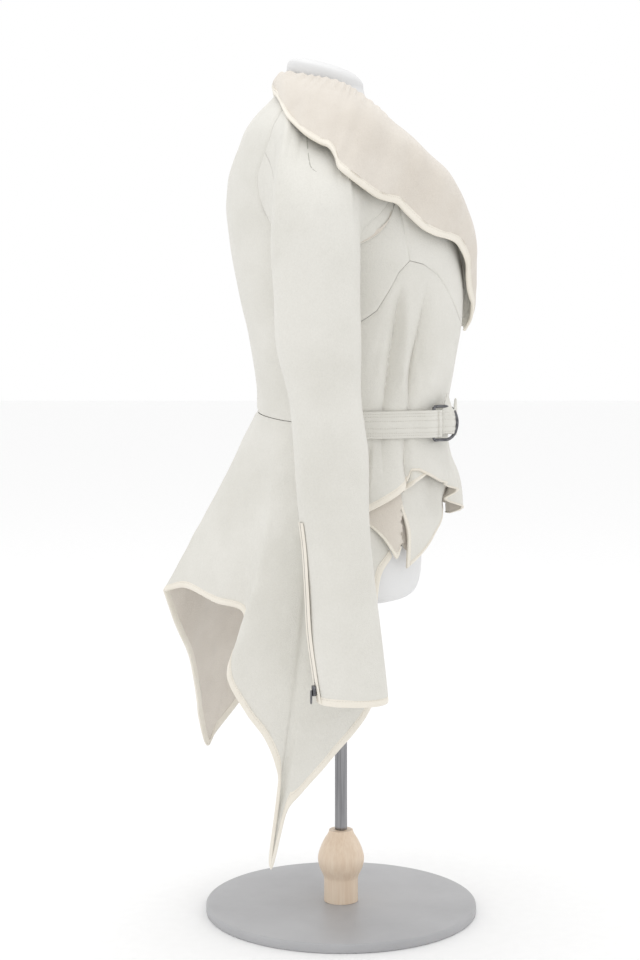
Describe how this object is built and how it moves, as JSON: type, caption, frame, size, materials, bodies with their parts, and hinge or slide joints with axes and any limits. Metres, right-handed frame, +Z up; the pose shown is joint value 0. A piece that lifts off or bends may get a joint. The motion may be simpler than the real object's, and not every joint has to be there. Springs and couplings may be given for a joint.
{
  "type": "shearling jacket on dress form",
  "caption": "Belted wrap jacket of leather-faced shearling with a wide shawl collar and long pointed tails, worn by a limbless dress form on a pole stand.",
  "frame": {"origin": "under the middle of the base plate, on the axis of the pole", "axes": "+Z up, -Y towards the front of the jacket, -X towards the wearer's right"},
  "size_m": [0.5248, 0.4066, 1.1055],
  "materials": {
    "leather": "soft off-white leather face of shearling, satin",
    "suede": "napped beige inner side of shearling, turned out",
    "binding": "cream leather binding, satin",
    "hardware": "dark gunmetal",
    "form": "smooth white, matte",
    "pole": "satin grey",
    "turned_wood": "pale wood, satin lacquer",
    "plate": "satin grey paint"
  },
  "bodies": {
    "jacket_on_form": {"back_body": "leather", "front_right_upper": "leather", "front_right_side": "leather", "front_right_lower": "leather", "front_left_upper": "leather", "front_left_side": "leather", "front_left_lower": "leather", "binding_hem_front_right_lower": "binding", "binding_edge_front_right_lower": "binding", "binding_hem_front_left_lower": "binding", "binding_edge_front_left_lower": "binding", "sleeve_right_upper": "leather", "sleeve_right_under": "leather", "sleeve_left_upper": "leather", "sleeve_left_under": "leather", "binding_cuff_right": "binding", "binding_cuff_left": "binding", "zip_right": "hardware", "zip_left": "hardware", "zip_slider_right": "hardware", "zip_slider_left": "hardware", "collar_right": "suede", "collar_left": "suede", "binding_collar_right": "binding", "binding_collar_left": "binding", "tail_right": "leather", "tail_left": "leather", "binding_tail_right": "binding", "binding_tail_left": "binding", "belt_right": "leather", "belt_loop": "leather", "belt_left": "leather", "belt_ring": "hardware", "dress_form": "form", "stand_pole": "pole", "stand_foot": "turned_wood", "base_plate": "plate"},
    "pull_tab_right": {"zip_pull_right": "hardware"},
    "pull_tab_left": {"zip_pull_left": "hardware"}
  },
  "joints": [
    {"name": "pull_right", "type": "hinge", "parent": "jacket_on_form", "child": "pull_tab_right", "pos_m": [-0.24407, 0.03772, 0.332], "axis": [0.9222, 0.3868, 0], "range_deg": [0, 100]},
    {"name": "pull_left", "type": "hinge", "parent": "jacket_on_form", "child": "pull_tab_left", "pos_m": [0.24407, 0.03772, 0.332], "axis": [0.9222, -0.3868, 0], "range_deg": [0, 100]}
  ]
}
